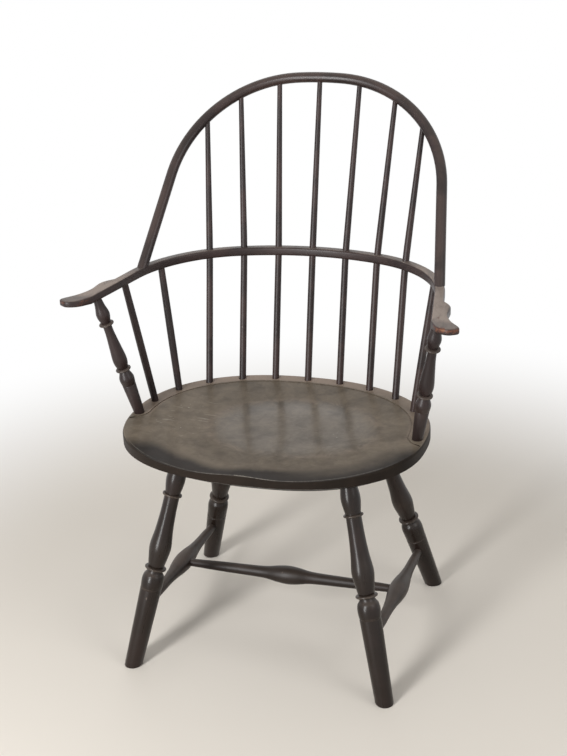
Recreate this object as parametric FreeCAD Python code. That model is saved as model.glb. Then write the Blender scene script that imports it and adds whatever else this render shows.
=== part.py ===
"""Sack-back windsor armchair, in millimetres.

The chair faces -Y, +X is on the right as seen from the front, and +Z is up. Left and right
in names are as seen from the front. The origin is the centre of the chair's box on the floor.
"""
import FreeCAD, Part
import math
import os

V = FreeCAD.Vector

# Seat plank, measured from the middle of its outline
seat_height = 430.0
seat_thickness = 42.0
seat_width = 546.0
seat_front_depth = 204.0
seat_back_depth = 217.0
seat_front_power = 2.4
seat_back_power = 2.23
seat_round = 5.0
seat_edge_band = 16.0
seat_undercut = 34.0

# Scribed line between the spindle deck and the saddle
groove_inset = 34.0
groove_width = 2.0
groove_depth = 1.4
groove_turn_radius = 36.0
groove_turn = math.radians(62)

# Saddle hollow
saddle_depth = 11.0
saddle_step = 0.8
saddle_power = 2.2
saddle_softness = 1.3
saddle_front_share = 0.5
pommel_half_width = 52.0
front_roll_start = 132.0
front_roll_drop = 3.0

# Legs: how far in from the seat's edges their axes meet its underside, and their splay to the floor
front_leg_inset = (122.0, 122.0)
front_leg_splay = (85.0, -96.0)
rear_leg_inset = (137.0, 75.0)
rear_leg_splay = (100.0, 87.0)
leg_shaft_radius = 19.3
leg_foot_radius = 15.2
leg_foot_round = 3.0
leg_neck_radius = 13.6
leg_waist_radius = 14.2
leg_top_radius = 12.8
leg_collar_radius = 19.6
leg_upper_collar_radius = 17.6
collar_width = 5.0
collar_edge = 1.2
leg_groove_depth = 1.2
leg_tenon_radius = 10.5
leg_tenon_tip_radius = 9.0
leg_tenon_length = 25.0
front_bulb_length = 39.0
rear_bulb_length = 48.0
front_collar_share = 0.473
rear_collar_share = 0.4135
collar_spacing_share = 0.348
# Outlines: distance below the lower collar, or share of a stretch between collars, and radius
leg_bulb_outline = ((31.0, 19.9), (22.0, 20.0), (14.0, 18.4), (8.5, 14.8))
leg_belly_outline = ((0.15, 17.4), (0.30, 19.7), (0.51, 16.3), (0.74, 14.2))
leg_vase_outline = ((0.40, 17.2), (0.75, 14.2))

# Stretchers
front_stretcher_height = 114.0
rear_stretcher_height = 87.0
stretcher_belly_radius = 17.4
# Outline of half a belly: share of the way from its middle to its end, and radius
stretcher_belly_outline = ((0.62, 12.0), (0.30, 15.7))
stretcher_arm_radius = 9.6
stretcher_end_radius = 7.4
stretcher_tenon_radius = 6.8
stretcher_tenon_length = 15.0
side_belly_half = 84.0
cross_belly_half = 66.0
cross_arm_radius = 10.6

# Arm rail, bent in plan: a flat back, two round shoulders and straight arms
arm_height = 236.7
rail_width = 18.0
rail_thickness = 16.0
rail_round = 4.0
rail_back = 256.5
rail_back_radius = 430.0
rail_shoulder_radius = 215.0
rail_side = 277.5
rail_side_depth = 82.0
rail_splay = math.atan(0.17)

# Hand at the end of each arm, measured forward from the ear and outward from the rail
ear_distance = 431.0
ear_start = 9.0
ear_reach = 12.0
ear_length = 21.0
notch_reach = 8.2
notch_length = 54.0
tip_reach = 28.0
tip_length = 113.0
hand_length = 124.0
hand_inner_round = 16.0
hand_thin_start = 66.0
hand_tip_thickness = 11.5

# Arm posts
post_seat_inset = 15.0
post_seat_forward = 10.0
post_rail_distance = 489.0
post_foot_radius = 9.2
post_neck_radius = 7.8
post_collar_radius = 13.9
post_upper_collar_radius = 13.4
post_waist_radius = 9.2
post_throat_radius = 8.6
post_top_radius = 6.7
post_tenon_radius = 7.5
post_top_tenon_radius = 5.5
post_tenon_length = 24.0
post_collar_width = 4.6
post_collar_share = 0.395
post_upper_collar_share = 0.793
# Outlines: share of the stretch up to a collar, between the collars or above them, and radius
post_bulb_outline = ((0.66, 12.3), (0.80, 13.5), (0.90, 10.6))
post_belly_outline = ((0.12, 12.6), (0.25, 12.8), (0.50, 10.6), (0.78, 8.2))
post_vase_outline = ((0.38, 12.1), (0.72, 9.0))

# Bow, bent in a plane that leans back from the arms
bow_radius = 9.5
bow_foot_distance = 349.0
bow_lean = math.radians(39.4)
bow_rise = 398.0
bow_crown_radius = 620.0
bow_shoulder_radius = 229.0
bow_splay = math.radians(6.4)
bow_tenon_radius = 6.2

# Wedges driven into the ends of the bow's tenons
wedge_length = 11.0
wedge_thickness = 2.4
wedge_tip_thickness = 0.8

# Spindles
long_spindle_sides = 3
spindle_inset = 18.0
seat_spindle_pitch = 63.8
rail_spindle_pitch = 65.3
bow_spindle_pitch = 77.0
spindle_seat_radius = 6.5
spindle_rail_radius = 6.2
spindle_top_radius = 4.5
spindle_bend_radius = 900.0
spindle_seat_depth = 24.0
spindle_bow_depth = 3.0
short_spindle_distances = (298.0, 403.0)
short_spindle_radius = 6.9
short_spindle_end_radius = 6.0
arm_tenon_depth = 11.0

# Fits
glue_gap = 0.15
end_gap = 0.3

seat_bottom = seat_height - seat_thickness
rail_level = seat_height + arm_height
rail_underside = rail_level - rail_thickness / 2
rail_top = rail_level + rail_thickness / 2
half_width = seat_width / 2
front_leg_top = (half_width - front_leg_inset[0], front_leg_inset[1] - seat_front_depth)
front_leg_foot = (front_leg_top[0] + front_leg_splay[0], front_leg_top[1] + front_leg_splay[1])
rear_leg_top = (half_width - rear_leg_inset[0], seat_back_depth - rear_leg_inset[1])
rear_leg_foot = (rear_leg_top[0] + rear_leg_splay[0], rear_leg_top[1] + rear_leg_splay[1])
REACH = 2000.0


def unit(vector):
    return vector * (1.0 / vector.Length)


def stand(shape, base, top):
    """Turn a shape made up the Z axis so that it runs from base towards top."""
    placed = shape.copy()
    placed.Placement = FreeCAD.Placement(base, FreeCAD.Rotation(V(0, 0, 1), top - base))
    return placed


def lathe(stretches):
    """Turn an outline about Z; a stretch of two points is straight, a longer one is a smooth curve."""
    edges = []
    last = None
    for stretch in stretches:
        points = [V(radius, 0, distance) for distance, radius in stretch]
        if last is not None and (points[0] - last).Length > 1e-6:
            edges.append(Part.makeLine(last, points[0]))
        if len(points) == 2:
            edges.append(Part.makeLine(points[0], points[1]))
        else:
            curve = Part.BSplineCurve()
            curve.interpolate(points)
            edges.append(curve.toShape())
        last = points[-1]
    first = edges[0].Vertexes[0].Point
    axis_low = V(0, 0, first.z)
    axis_high = V(0, 0, last.z)
    edges.append(Part.makeLine(last, axis_high))
    edges.append(Part.makeLine(axis_high, axis_low))
    edges.append(Part.makeLine(axis_low, first))
    face = Part.Face(Part.Wire(Part.__sortEdges__(edges)))
    return face.revolve(V(0, 0, 0), V(0, 0, 1), 360)


def rod(start, end, start_radius, end_radius):
    """Round bar from start to end, straight or tapered."""
    length = (end - start).Length
    if abs(start_radius - end_radius) < 1e-6:
        return Part.makeCylinder(start_radius, length, start, end - start)
    return Part.makeCone(start_radius, end_radius, length, start, end - start)


def slab(low, high):
    """Block that is far wider than the chair, between two heights."""
    return Part.makeBox(2 * REACH, 2 * REACH, high - low, V(-REACH, -REACH, low))


def join(pieces):
    return pieces[0].multiFuse(pieces[1:]).removeSplitter()


def mirrored(shape):
    return shape.mirror(V(0, 0, 0), V(1, 0, 0))


def collar(middle, radius, width):
    """Outline of a thin ring with eased edges."""
    low = middle - width / 2
    high = middle + width / 2
    return [
        [(low, radius - collar_edge), (low + collar_edge, radius)],
        [(low + collar_edge, radius), (high - collar_edge, radius)],
        [(high - collar_edge, radius), (high, radius - collar_edge)],
    ]


class Arch:
    """Half of a bent bow: a crown arc, a tighter shoulder arc and a straight splayed side."""

    def __init__(self, crown, crown_radius, shoulder_radius, side, side_height, splay):
        self.crown_radius = crown_radius
        self.shoulder_radius = shoulder_radius
        self.splay = splay
        self.crown_centre = (0.0, crown - crown_radius)
        out = (math.cos(splay), math.sin(splay))
        start = (side - shoulder_radius * out[0], side_height - shoulder_radius * out[1])
        to_start = (start[0], start[1] - self.crown_centre[1])
        along = -out[1] * to_start[0] + out[0] * to_start[1]
        span = crown_radius - shoulder_radius
        climb = -along + math.sqrt(along ** 2 - to_start[0] ** 2 - to_start[1] ** 2 + span ** 2)
        self.shoulder_centre = (start[0] - out[1] * climb, start[1] + out[0] * climb)
        rise = self.shoulder_centre[1] - self.crown_centre[1]
        self.crown_angle = math.atan2(self.shoulder_centre[0], rise)
        self.shoulder_angle = math.pi / 2 - splay - self.crown_angle
        self.crown_length = crown_radius * self.crown_angle
        self.shoulder_length = shoulder_radius * self.shoulder_angle
        self.bent_length = self.crown_length + self.shoulder_length

    def widened(self, amount):
        """The same bend, offset outward."""
        centre_height = self.crown_centre[1]
        side, height = self.point(self.bent_length)
        return Arch(
            centre_height + self.crown_radius + amount,
            self.crown_radius + amount,
            self.shoulder_radius + amount,
            side + amount * math.cos(self.splay),
            height + amount * math.sin(self.splay),
            self.splay,
        )

    def point(self, distance):
        """Place at a distance along the bend from the middle of its crown."""
        if distance <= self.crown_length:
            angle = distance / self.crown_radius
            centre = self.crown_centre
            radius = self.crown_radius
        else:
            bent = min(distance, self.bent_length) - self.crown_length
            angle = self.crown_angle + bent / self.shoulder_radius
            centre = self.shoulder_centre
            radius = self.shoulder_radius
        x = centre[0] + radius * math.sin(angle)
        height = centre[1] + radius * math.cos(angle)
        straight = max(0.0, distance - self.bent_length)
        return (x + straight * math.sin(self.splay), height - straight * math.cos(self.splay))


rail_line = Arch(rail_back, rail_back_radius, rail_shoulder_radius, rail_side, rail_side_depth, rail_splay)


def rail_point(distance, side=1, height=rail_level):
    x, y = rail_line.point(distance)
    return V(side * x, y, height)


bow_foot = rail_point(bow_foot_distance)
bow_line = Arch(bow_rise, bow_crown_radius, bow_shoulder_radius, bow_foot.x, 0.0, bow_splay)
bow_up = V(0, math.sin(bow_lean), math.cos(bow_lean))
bow_across = V(0, math.cos(bow_lean), -math.sin(bow_lean))


def in_bow_plane(point, side=1):
    return V(side * point[0], bow_foot.y, rail_level) + bow_up * point[1]


# The chair's box runs from the front of the seat to the back of the bow
box_back = in_bow_plane((0.0, bow_rise)).y + bow_radius
centre_shift = V(0, (seat_front_depth - box_back) / 2, 0)


def on_oval(inset, angle):
    """Point of the seat's outline, drawn in by inset, at an angle from the sitter's side."""
    across = math.cos(angle)
    along = math.sin(angle)
    front = along < 0
    depth = (seat_front_depth if front else seat_back_depth) - inset
    power = seat_front_power if front else seat_back_power
    x = math.copysign(abs(across) ** (2 / power), across) * (half_width - inset)
    y = math.copysign(abs(along) ** (2 / power), along) * depth
    return (x, y)


def oval(inset, height):
    count = 48
    points = [on_oval(inset, 2 * math.pi * step / count) for step in range(count)]
    curve = Part.BSplineCurve()
    curve.interpolate([V(x, y, height) for x, y in points], PeriodicFlag=True)
    return Part.Wire(curve.toShape())


def oval_walk(inset, distance):
    """Point of the drawn-in outline at a distance from the middle of the back."""
    steps = 2000
    travelled = 0.0
    last = on_oval(inset, math.pi / 2)
    for step in range(1, steps):
        point = on_oval(inset, math.pi / 2 - math.pi * step / steps)
        travelled += math.dist(last, point)
        if travelled >= distance:
            return point
        last = point
    return last


def deck_face(inset, turn_radius):
    """Plan of everything in front of the scribed line."""
    count = 16
    curve = Part.BSplineCurve()
    points = [on_oval(inset, math.pi * step / count) for step in range(count + 1)]
    curve.interpolate([V(x, y, 0) for x, y in points])
    edges = [curve.toShape()]
    side = half_width - inset
    outside = half_width * 2
    front = -2 * seat_front_depth
    across = turn_radius * math.cos(groove_turn)
    ahead = turn_radius * math.sin(groove_turn)
    for sign in (1, -1):
        centre = V(sign * (side + turn_radius), 0, 0)
        start = V(sign * side, 0, 0)
        half = groove_turn / 2
        middle = centre + V(-sign * turn_radius * math.cos(half), -turn_radius * math.sin(half), 0)
        end = centre + V(-sign * across, -ahead, 0)
        run = outside - abs(end.x)
        far = end + V(sign * run, -run / math.tan(groove_turn), 0)
        edges.append(Part.Arc(start, middle, end).toShape())
        edges.append(Part.makeLine(end, far))
        edges.append(Part.makeLine(far, V(sign * outside, front, 0)))
    edges.append(Part.makeLine(V(outside, front, 0), V(-outside, front, 0)))
    return Part.Face(Part.Wire(Part.__sortEdges__(edges)))


def saddle_drop(x, y):
    """Depth of the saddle below the deck."""
    across = abs(x) / (half_width - groove_inset)
    back = max(y, 0.0) / (seat_back_depth - groove_inset)
    front = min(y, 0.0) / seat_front_depth
    reach = min(1.0, across ** saddle_power + back ** saddle_power)
    bowl = (1 - reach) ** saddle_softness
    forward = 1 - saddle_front_share * front ** 2
    ridge = 1 - front ** 2 * math.exp(-((x / pommel_half_width) ** 2))
    roll = max(0.0, -y - front_roll_start) / (seat_front_depth - front_roll_start)
    return saddle_step + saddle_depth * bowl * forward * ridge + front_roll_drop * roll ** 2


def saddle_cutter():
    columns = 17
    rows = 15
    x_reach = half_width + 20
    y_low = -seat_front_depth - 20
    y_high = seat_back_depth + 10
    grid = []
    for column in range(columns):
        x = -x_reach + 2 * x_reach * column / (columns - 1)
        line = []
        for row in range(rows):
            y = y_low + (y_high - y_low) * row / (rows - 1)
            line.append(V(x, y, seat_height - saddle_drop(x, y)))
        grid.append(line)
    surface = Part.BSplineSurface()
    surface.interpolate(grid)
    above = surface.toShape().extrude(V(0, 0, seat_thickness))
    plan = deck_face(groove_inset, groove_turn_radius)
    plan.translate(V(0, 0, seat_bottom))
    return above.common(plan.extrude(V(0, 0, 2 * seat_thickness)))


def scribed_line():
    outer = deck_face(groove_inset - groove_width, groove_turn_radius - groove_width)
    inner = deck_face(groove_inset, groove_turn_radius)
    ring = outer.cut(inner)
    ring.translate(V(0, 0, seat_height - groove_depth))
    return ring.extrude(V(0, 0, seat_thickness))


class Leg:
    """One leg: its axis from the floor to the underside of the seat, and its turning."""

    def __init__(self, foot, top, collar_share, bulb_length):
        self.foot = V(foot[0], foot[1], 0)
        self.top = V(top[0], top[1], seat_bottom)
        self.axis = unit(self.top - self.foot)
        self.length = (self.top - self.foot).Length
        self.collar_share = collar_share
        self.bulb_length = bulb_length

    def at_height(self, height):
        return self.foot + (self.top - self.foot) * (height / seat_bottom)

    def tenon(self, gap):
        start = self.top - self.axis * 2
        tip = self.top + self.axis * (leg_tenon_length + gap)
        return rod(start, tip, leg_tenon_radius + gap, leg_tenon_tip_radius + gap)

    def turning(self):
        length = self.length
        low = self.collar_share * length
        high = (self.collar_share + collar_spacing_share) * length
        span = high - low
        crown = length - high
        under = low - collar_width / 2
        over = low + collar_width / 2
        scribe = low - self.bulb_length
        spare = 40.0
        shaft = [(-spare, leg_foot_radius), (scribe - 2, leg_shaft_radius)]
        scribed = [(scribe - 1, leg_shaft_radius - leg_groove_depth), (scribe, leg_shaft_radius)]
        bulb = [(scribe, leg_shaft_radius)]
        bulb += [(low - below, radius) for below, radius in leg_bulb_outline]
        bulb.append((under, leg_neck_radius - 0.4))
        belly = [(over, leg_waist_radius)]
        belly += [(low + span * share, radius) for share, radius in leg_belly_outline]
        belly.append((high - collar_width / 2, leg_neck_radius))
        vase = [(high + collar_width / 2, leg_neck_radius)]
        vase += [(high + crown * share, radius) for share, radius in leg_vase_outline]
        vase.append((length + 8, leg_top_radius))
        outline = [shaft, scribed, bulb]
        outline += collar(low, leg_collar_radius, collar_width)
        outline.append(belly)
        outline += collar(high, leg_upper_collar_radius, collar_width)
        outline.append(vase)
        body = stand(lathe(outline), self.foot, self.top)
        body = body.common(slab(0, seat_bottom))
        rim = [edge for edge in body.Edges if max(v.Point.z for v in edge.Vertexes) < 0.01]
        return body.makeFillet(leg_foot_round, rim)

    def solid(self):
        return self.turning().fuse(self.tenon(0)).removeSplitter()


front_leg = Leg(front_leg_foot, front_leg_top, front_collar_share, front_bulb_length)
rear_leg = Leg(rear_leg_foot, rear_leg_top, rear_collar_share, rear_bulb_length)


def stretcher_tenon(centre, towards, host_radius, gap):
    """Round tenon let into a turned piece from its side."""
    direction = unit(towards - centre)
    start = centre + direction * (host_radius - stretcher_tenon_length - gap)
    end = centre + direction * (host_radius + 6)
    return rod(start, end, stretcher_tenon_radius + gap, stretcher_tenon_radius + gap)


def stretcher(start, end, host_radius, belly_half, arm_radius):
    """Turned stretcher with a swelled middle, between two pieces of the same thickness."""
    middle = (end - start).Length / 2
    first = host_radius - stretcher_tenon_length
    face = host_radius + 1
    left = [
        (face, stretcher_end_radius),
        (face + (middle - belly_half - face) * 0.5, (stretcher_end_radius + arm_radius) / 2 + 0.4),
        (middle - belly_half, arm_radius),
    ]
    left += [(middle - belly_half * share, radius) for share, radius in stretcher_belly_outline]
    left.append((middle, stretcher_belly_radius))
    right = [(2 * middle - distance, radius) for distance, radius in reversed(left[:-1])]
    tenon = [(first, stretcher_tenon_radius), (face, stretcher_tenon_radius)]
    far_tenon = [(2 * middle - distance, radius) for distance, radius in reversed(tenon)]
    return stand(lathe([tenon, left + right, far_tenon]), start, end)


side_front = front_leg.at_height(front_stretcher_height)
side_rear = rear_leg.at_height(rear_stretcher_height)
side_middle = (side_front + side_rear) * 0.5
cross_end = V(-side_middle.x, side_middle.y, side_middle.z)
leg_stretcher_radius = leg_shaft_radius - 1.0


def side_stretcher():
    body = stretcher(side_front, side_rear, leg_stretcher_radius, side_belly_half, stretcher_arm_radius)
    return body.cut(stretcher_tenon(side_middle, cross_end, stretcher_belly_radius, glue_gap))


def leg_solid(leg, socket_centre, towards):
    return leg.solid().cut(stretcher_tenon(socket_centre, towards, leg_stretcher_radius, glue_gap))


class Post:
    """Turned arm post from the seat to the underside of the arm."""

    def __init__(self):
        self.foot = V(half_width - post_seat_inset, -post_seat_forward, seat_height)
        self.top = rail_point(post_rail_distance, 1, rail_underside)
        self.axis = unit(self.top - self.foot)
        self.length = (self.top - self.foot).Length

    def foot_tenon(self, gap):
        tip = self.foot - self.axis * (post_tenon_length + gap)
        return rod(tip, self.foot + self.axis * 2, post_tenon_radius + gap, post_tenon_radius + gap)

    def top_tenon(self, gap):
        tip = self.top + self.axis * (arm_tenon_depth + gap)
        return rod(self.top - self.axis * 2, tip, post_top_tenon_radius + gap, post_top_tenon_radius + gap)

    def solid(self):
        length = self.length
        low = post_collar_share * length
        high = post_upper_collar_share * length
        span = high - low
        edge = post_collar_width / 2
        crown = length - high
        bulb = [(low * share, radius) for share, radius in post_bulb_outline]
        shaft = [(-8, post_foot_radius), bulb[0]]
        bulb.append((low - edge, post_neck_radius))
        belly = [(low + edge, post_waist_radius)]
        belly += [(low + span * share, radius) for share, radius in post_belly_outline]
        belly.append((high - edge, post_neck_radius))
        vase = [(high + edge, post_throat_radius)]
        vase += [(high + crown * share, radius) for share, radius in post_vase_outline]
        vase.append((length + 5, post_top_radius))
        outline = [shaft, bulb]
        outline += collar(low, post_collar_radius, post_collar_width)
        outline.append(belly)
        outline += collar(high, post_upper_collar_radius, post_collar_width)
        outline.append(vase)
        body = stand(lathe(outline), self.foot, self.top)
        body = body.common(slab(seat_height, rail_underside))
        return join([body, self.foot_tenon(0), self.top_tenon(0)])


post = Post()


class LongSpindle:
    """Whittled spindle that runs from the seat through the arm rail into the bow, bent at the rail."""

    def __init__(self, index):
        side = 1 if index >= 0 else -1
        count = abs(index)
        x, y = on_oval(spindle_inset, math.pi / 2)
        if count:
            x, y = oval_walk(spindle_inset, count * seat_spindle_pitch)
        self.seat = V(side * x, y, seat_height)
        self.rail = rail_point(count * rail_spindle_pitch, side)
        self.bow = in_bow_plane(bow_line.point(count * bow_spindle_pitch), side)
        self.lower = unit(self.rail - self.seat)
        self.upper = unit(self.bow - self.rail)
        self.bend = self.lower.getAngle(self.upper)
        self.reach = spindle_bend_radius * math.tan(self.bend / 2)
        self.bend_start = self.rail - self.lower * self.reach
        self.bend_end = self.rail + self.upper * self.reach
        turn_axis = unit(self.lower.cross(self.upper))
        self.turn_axis = turn_axis
        self.turn_centre = self.bend_start + turn_axis.cross(self.lower) * spindle_bend_radius
        to_rail = unit(self.rail - self.turn_centre)
        self.crossing = self.turn_centre + to_rail * spindle_bend_radius

    def foot_hole(self, gap):
        tip = self.seat - self.lower * (spindle_seat_depth + gap)
        return rod(tip, self.seat + self.lower * 10, spindle_seat_radius + gap, spindle_seat_radius + gap)

    def rail_hole(self, gap):
        direction = unit(self.lower + self.upper)
        span = direction * (2 * rail_thickness)
        radius = spindle_rail_radius + gap
        return rod(self.crossing - span, self.crossing + span, radius, radius)

    def bow_hole(self, gap):
        tip = self.bow + self.upper * (spindle_bow_depth + gap)
        start = self.bow - self.upper * (3 * bow_radius)
        return rod(start, tip, spindle_top_radius + gap, spindle_top_radius + gap)

    def solid(self):
        tip = self.bow + self.upper * spindle_bow_depth
        neck = self.bow - self.upper * (2 * bow_radius)
        foot = self.seat - self.lower * spindle_seat_depth
        circle = Part.makeCircle(spindle_rail_radius, self.bend_start, self.lower)
        section = Part.Face(Part.Wire(circle))
        elbow = section.revolve(self.turn_centre, self.turn_axis, math.degrees(self.bend))
        pieces = [
            rod(foot, self.seat, spindle_seat_radius, spindle_seat_radius),
            rod(self.seat, self.bend_start, spindle_seat_radius, spindle_rail_radius),
            elbow,
            rod(self.bend_end, neck, spindle_rail_radius, spindle_top_radius),
            rod(neck, tip, spindle_top_radius, spindle_top_radius),
        ]
        return join(pieces)


class ShortSpindle:
    """Straight spindle between the seat and the underside of the arm."""

    def __init__(self, order):
        count = long_spindle_sides + 1 + order
        x, y = oval_walk(spindle_inset, count * seat_spindle_pitch)
        self.foot = V(x, y, seat_height)
        self.top = rail_point(short_spindle_distances[order], 1, rail_underside)
        self.axis = unit(self.top - self.foot)

    def foot_hole(self, gap):
        tip = self.foot - self.axis * (spindle_seat_depth + gap)
        return rod(tip, self.foot + self.axis * 10, spindle_seat_radius + gap, spindle_seat_radius + gap)

    def top_hole(self, gap):
        tip = self.top + self.axis * (arm_tenon_depth + gap)
        start = self.top - self.axis * 2
        return rod(start, tip, short_spindle_end_radius + gap, short_spindle_end_radius + gap)

    def solid(self):
        tip = self.foot - self.axis * spindle_seat_depth
        middle = (self.foot + self.top) * 0.5
        over = self.top + self.axis * rail_thickness
        body = join([
            rod(tip, self.foot, spindle_seat_radius, spindle_seat_radius),
            rod(self.foot, middle, spindle_seat_radius, short_spindle_radius),
            rod(middle, over, short_spindle_radius, short_spindle_end_radius),
        ])
        return join([body.common(slab(0, rail_underside)), self.top_hole(0)])


long_spindles = [LongSpindle(index) for index in range(-long_spindle_sides, long_spindle_sides + 1)]
short_spindles = [ShortSpindle(order) for order in range(len(short_spindle_distances))]


def hand_frame():
    """Start of the ear on the outer side of the right arm, with forward and outward directions."""
    forward = V(math.sin(rail_splay), -math.cos(rail_splay), 0)
    outward = V(math.cos(rail_splay), math.sin(rail_splay), 0)
    origin = rail_point(ear_distance, 1, 0) + outward * (rail_width / 2)
    return origin, forward, outward


def hand_curve(side):
    """Edge of the arm from the ear round the tip to the inner side."""
    origin, forward, outward = hand_frame()
    places = [
        (-ear_start, 0.0),
        (ear_length * 0.25, ear_reach * 0.70),
        (ear_length, ear_reach),
        (notch_length, notch_reach),
        ((notch_length + tip_length) / 2, notch_reach * 0.62 + tip_reach * 0.32),
        (tip_length, tip_reach),
        (hand_length - 1.5, tip_reach * 0.65),
        (hand_length, tip_reach * 0.32),
        (hand_length - hand_inner_round * 0.35, -rail_width * 0.10),
        (hand_length - hand_inner_round, -rail_width * 0.58),
        (hand_length - hand_inner_round * 2.4, -rail_width),
    ]
    points = []
    for ahead, aside in places:
        point = origin + forward * ahead + outward * aside
        points.append(V(side * point.x, point.y, 0))
    start_way = V(side * forward.x, forward.y, 0)
    curve = Part.BSplineCurve()
    curve.interpolate(points, InitialTangent=start_way, FinalTangent=start_way * -1, Scale=False)
    return curve.toShape(), points[0], points[-1]


def bend_edges(arch, ends):
    """Arcs of the rail's side over the whole back, and straight runs to the two given ends."""
    def at(distance, side):
        x, y = arch.point(distance)
        return V(side * x, y, 0)
    crown = arch.crown_length
    edges = [Part.Arc(at(crown, -1), at(0, 1), at(crown, 1)).toShape()]
    for side in (1, -1):
        middle = at(crown + arch.shoulder_length / 2, side)
        foot = at(arch.bent_length, side)
        edges.append(Part.Arc(at(crown, side), middle, foot).toShape())
        edges.append(Part.makeLine(foot, ends[side]))
    return edges


def whole_arm():
    """Rail and hands as one eased board, before the glue lines are sawn."""
    outer_ends = {}
    inner_ends = {}
    edges = []
    for side in (1, -1):
        curve, outer_ends[side], inner_ends[side] = hand_curve(side)
        edges.append(curve)
    edges += bend_edges(rail_line.widened(rail_width / 2), outer_ends)
    edges += bend_edges(rail_line.widened(-rail_width / 2), inner_ends)
    plan = Part.Face(Part.Wire(Part.__sortEdges__(edges)))
    plan.translate(V(0, 0, rail_underside))
    board = plan.extrude(V(0, 0, rail_thickness))
    flat = [edge for edge in board.Edges if abs(edge.BoundBox.ZLength) < 0.01]
    board = board.makeFillet(rail_round, flat)
    return board.cut([hand_relief(1), hand_relief(-1)])


def hand_relief(side):
    """Wedge planed off the underside of a hand, so that it thins towards its tip."""
    origin, forward, outward = hand_frame()
    slope = (rail_thickness - hand_tip_thickness) / (hand_length - hand_thin_start)
    margin = 10.0
    inner = origin - outward * (rail_width + margin)

    def at(ahead, level):
        point = inner + forward * ahead
        return V(side * point.x, point.y, rail_underside + level)

    low = -margin * slope
    end = hand_length + margin
    outline = [
        at(hand_thin_start - margin, low),
        at(end, (end - hand_thin_start) * slope),
        at(end, low),
    ]
    across = rail_width + tip_reach + 2 * margin
    sweep = V(side * outward.x, outward.y, 0) * across
    return Part.Face(Part.makePolygon(outline + outline[:1])).extrude(sweep)


def hand_block_region(side):
    """Space outside the right or left arm's glue line, from the ear forward."""
    origin, forward, outward = hand_frame()
    corner = origin - forward * ear_start
    reach = hand_length + 3 * ear_start
    far = tip_reach + 20
    front = corner + forward * reach
    outline = [corner, front, front + outward * far, corner + outward * far]
    points = [V(side * point.x, point.y, rail_underside - 5) for point in outline]
    return Part.Face(Part.makePolygon(points + points[:1])).extrude(V(0, 0, rail_thickness + 10))


def bow_bar(radius):
    """Bar along the whole bow, running on below the arms."""
    crown_centre = in_bow_plane(bow_line.crown_centre)
    start = in_bow_plane(bow_line.point(bow_line.crown_length), -1)
    slope = bow_line.crown_angle
    heading = V(math.cos(slope), 0, 0) + bow_up * math.sin(slope)
    face = Part.Face(Part.Wire(Part.makeCircle(radius, start, heading)))
    pieces = [face.revolve(crown_centre, bow_across, math.degrees(2 * slope))]
    for side in (1, -1):
        centre = in_bow_plane(bow_line.shoulder_centre, side)
        top = in_bow_plane(bow_line.point(bow_line.crown_length), side)
        heading = V(side * math.cos(slope), 0, 0) - bow_up * math.sin(slope)
        face = Part.Face(Part.Wire(Part.makeCircle(radius, top, heading)))
        pieces.append(face.revolve(centre, bow_across * side, math.degrees(bow_line.shoulder_angle)))
        low = in_bow_plane(bow_line.point(bow_line.bent_length), side)
        foot = in_bow_plane((bow_foot.x, 0.0), side)
        end = foot + unit(foot - low) * (3 * bow_radius)
        pieces.append(rod(low, end, radius, radius))
    return join(pieces)


def bow_foot_axis(side):
    low = in_bow_plane(bow_line.point(bow_line.bent_length), side)
    foot = in_bow_plane((bow_foot.x, 0.0), side)
    return foot, unit(foot - low)


def bow_tenon(side, gap):
    foot, down = bow_foot_axis(side)
    start = foot - down * (2 * rail_thickness)
    end = foot + down * (2 * rail_thickness)
    return rod(start, end, bow_tenon_radius + gap, bow_tenon_radius + gap)


def bow_wedge(side, gap):
    """Wedge in the end of a tenon, flush with the underside of the arm."""
    foot, down = bow_foot_axis(side)
    end = foot + down * ((rail_thickness / 2) / -down.z)
    half = wedge_thickness / 2 + gap
    tip = wedge_tip_thickness / 2 + gap
    deep = wedge_length + gap
    profile = [V(-half, 0, 0), V(half, 0, 0), V(tip, 0, deep), V(-tip, 0, deep)]
    bar = Part.Face(Part.makePolygon(profile + profile[:1]))
    reach = bow_tenon_radius
    bar.translate(V(0, -reach, 0))
    block = bar.extrude(V(0, 2 * reach, 0))
    block = block.fuse(Part.makeBox(2 * half, 2 * reach, rail_thickness, V(-half, -reach, -rail_thickness)))
    block = stand(block, end, end - down)
    return block.common(bow_tenon(side, -glue_gap)).common(slab(rail_underside, rail_top))


def seat_solid():
    inner_round = seat_round * 0.3
    blank = Part.makeLoft([
        oval(seat_undercut, seat_bottom),
        oval(0, seat_height - seat_round - seat_edge_band),
        oval(0, seat_height - seat_round),
        oval(inner_round, seat_height - inner_round),
        oval(seat_round, seat_height),
    ], True, True)
    seat = blank.cut(saddle_cutter()).cut(scribed_line())
    sockets = []
    for leg in (front_leg, rear_leg):
        sockets.append(leg.tenon(glue_gap))
    sockets.append(post.foot_tenon(glue_gap))
    sockets += [spindle.foot_hole(glue_gap) for spindle in short_spindles]
    sockets += [mirrored(socket) for socket in sockets]
    sockets += [spindle.foot_hole(glue_gap) for spindle in long_spindles]
    return seat.cut(sockets)


def arm_pieces():
    """The bent rail and its two glued hand blocks, bored for everything that enters them."""
    board = whole_arm()
    bores = [spindle.top_hole(glue_gap) for spindle in short_spindles]
    bores += [post.top_tenon(glue_gap), bow_tenon(1, glue_gap)]
    bores += [mirrored(bore) for bore in bores]
    bores += [spindle.rail_hole(glue_gap) for spindle in long_spindles]
    board = board.cut(bores)
    right = board.common(hand_block_region(1))
    left = board.common(hand_block_region(-1))
    rail = board.cut([hand_block_region(1), hand_block_region(-1)])
    return rail, left, right


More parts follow.
